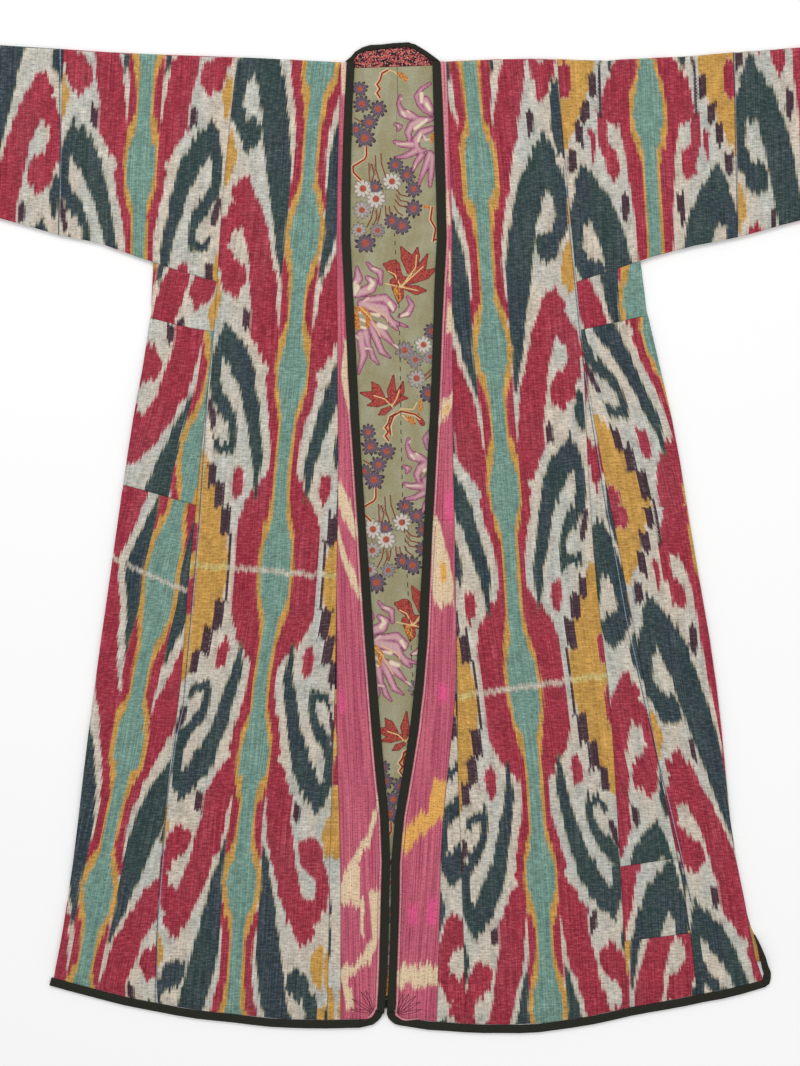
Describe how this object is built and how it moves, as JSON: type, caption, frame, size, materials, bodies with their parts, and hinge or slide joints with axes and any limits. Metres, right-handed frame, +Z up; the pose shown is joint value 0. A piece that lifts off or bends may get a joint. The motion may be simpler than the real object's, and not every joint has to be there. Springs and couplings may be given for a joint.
{
  "type": "quilted robe",
  "caption": "Open-fronted quilted ikat robe with straight sleeves and black braid edges, laid out flat on its back.",
  "frame": {"origin": "on the surface it lies on, under the middle of its bounding box", "axes": "+X from sleeve end to sleeve end, towards the right as seen from above, +Y to the neck, +Z up from the surface"},
  "size_m": [1.6002, 1.2491, 0.0079],
  "materials": {
    "ikat_cloth": "silky, ribbed, quilted with fine running stitches",
    "pink_band_cloth": "soft pink and cream ikat cotton",
    "printed_lining": "matt flowered cotton",
    "neck_facing": "matt speckled cotton",
    "edge_braid": "close woven braid"
  },
  "bodies": {
    "root": {"body_left": "ikat_cloth", "body_right": "ikat_cloth", "sleeve_left_inner": "ikat_cloth", "sleeve_left_outer": "ikat_cloth", "sleeve_right_inner": "ikat_cloth", "sleeve_right_outer": "ikat_cloth", "gusset_left": "ikat_cloth", "gusset_right": "ikat_cloth", "gore_left_upper": "ikat_cloth", "gore_left_lower": "ikat_cloth", "gore_right": "ikat_cloth", "wedge_right": "ikat_cloth", "wedge_patch_upper": "ikat_cloth", "wedge_patch_lower": "ikat_cloth", "front_strip_left": "ikat_cloth", "front_strip_right": "ikat_cloth", "band_left": "pink_band_cloth", "band_right_upper": "pink_band_cloth", "band_right_lower": "pink_band_cloth", "gore_back_left": "ikat_cloth", "gore_back_right": "ikat_cloth", "lining_back": "printed_lining", "facing_neck": "neck_facing", "braid_front_left": "edge_braid", "braid_front_right": "edge_braid", "braid_hem_left": "edge_braid", "braid_hem_right": "edge_braid", "braid_hem_back": "edge_braid", "braid_neck": "edge_braid"}
  },
  "joints": []
}
